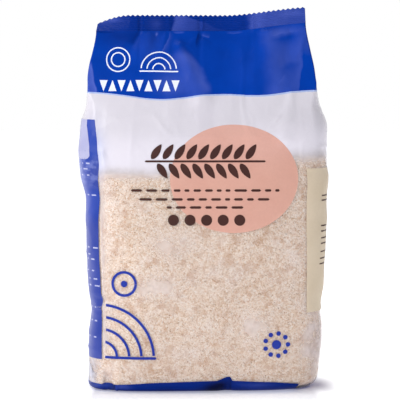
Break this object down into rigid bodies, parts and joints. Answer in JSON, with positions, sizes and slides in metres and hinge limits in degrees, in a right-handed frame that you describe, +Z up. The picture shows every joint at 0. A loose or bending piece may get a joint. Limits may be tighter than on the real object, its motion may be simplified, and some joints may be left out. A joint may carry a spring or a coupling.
{
  "type": "printed film bag of milled oats",
  "caption": "Upright gusseted film bag with a crimped zig-zag top seal, printed in blue bands, holding pale milled oats seen through its clear windows.",
  "frame": {"origin": "centre of the bag's bounding box, on the flat base it stands on", "axes": "+Z up from the base to the top seal, -Y out of the printed front, +X to the right as seen from the front"},
  "size_m": [0.1844, 0.0908, 0.2818],
  "materials": {
    "film": "smooth, semi-gloss printed film over pale oat grains"
  },
  "bodies": {
    "root": {"bag": "film"}
  },
  "joints": []
}
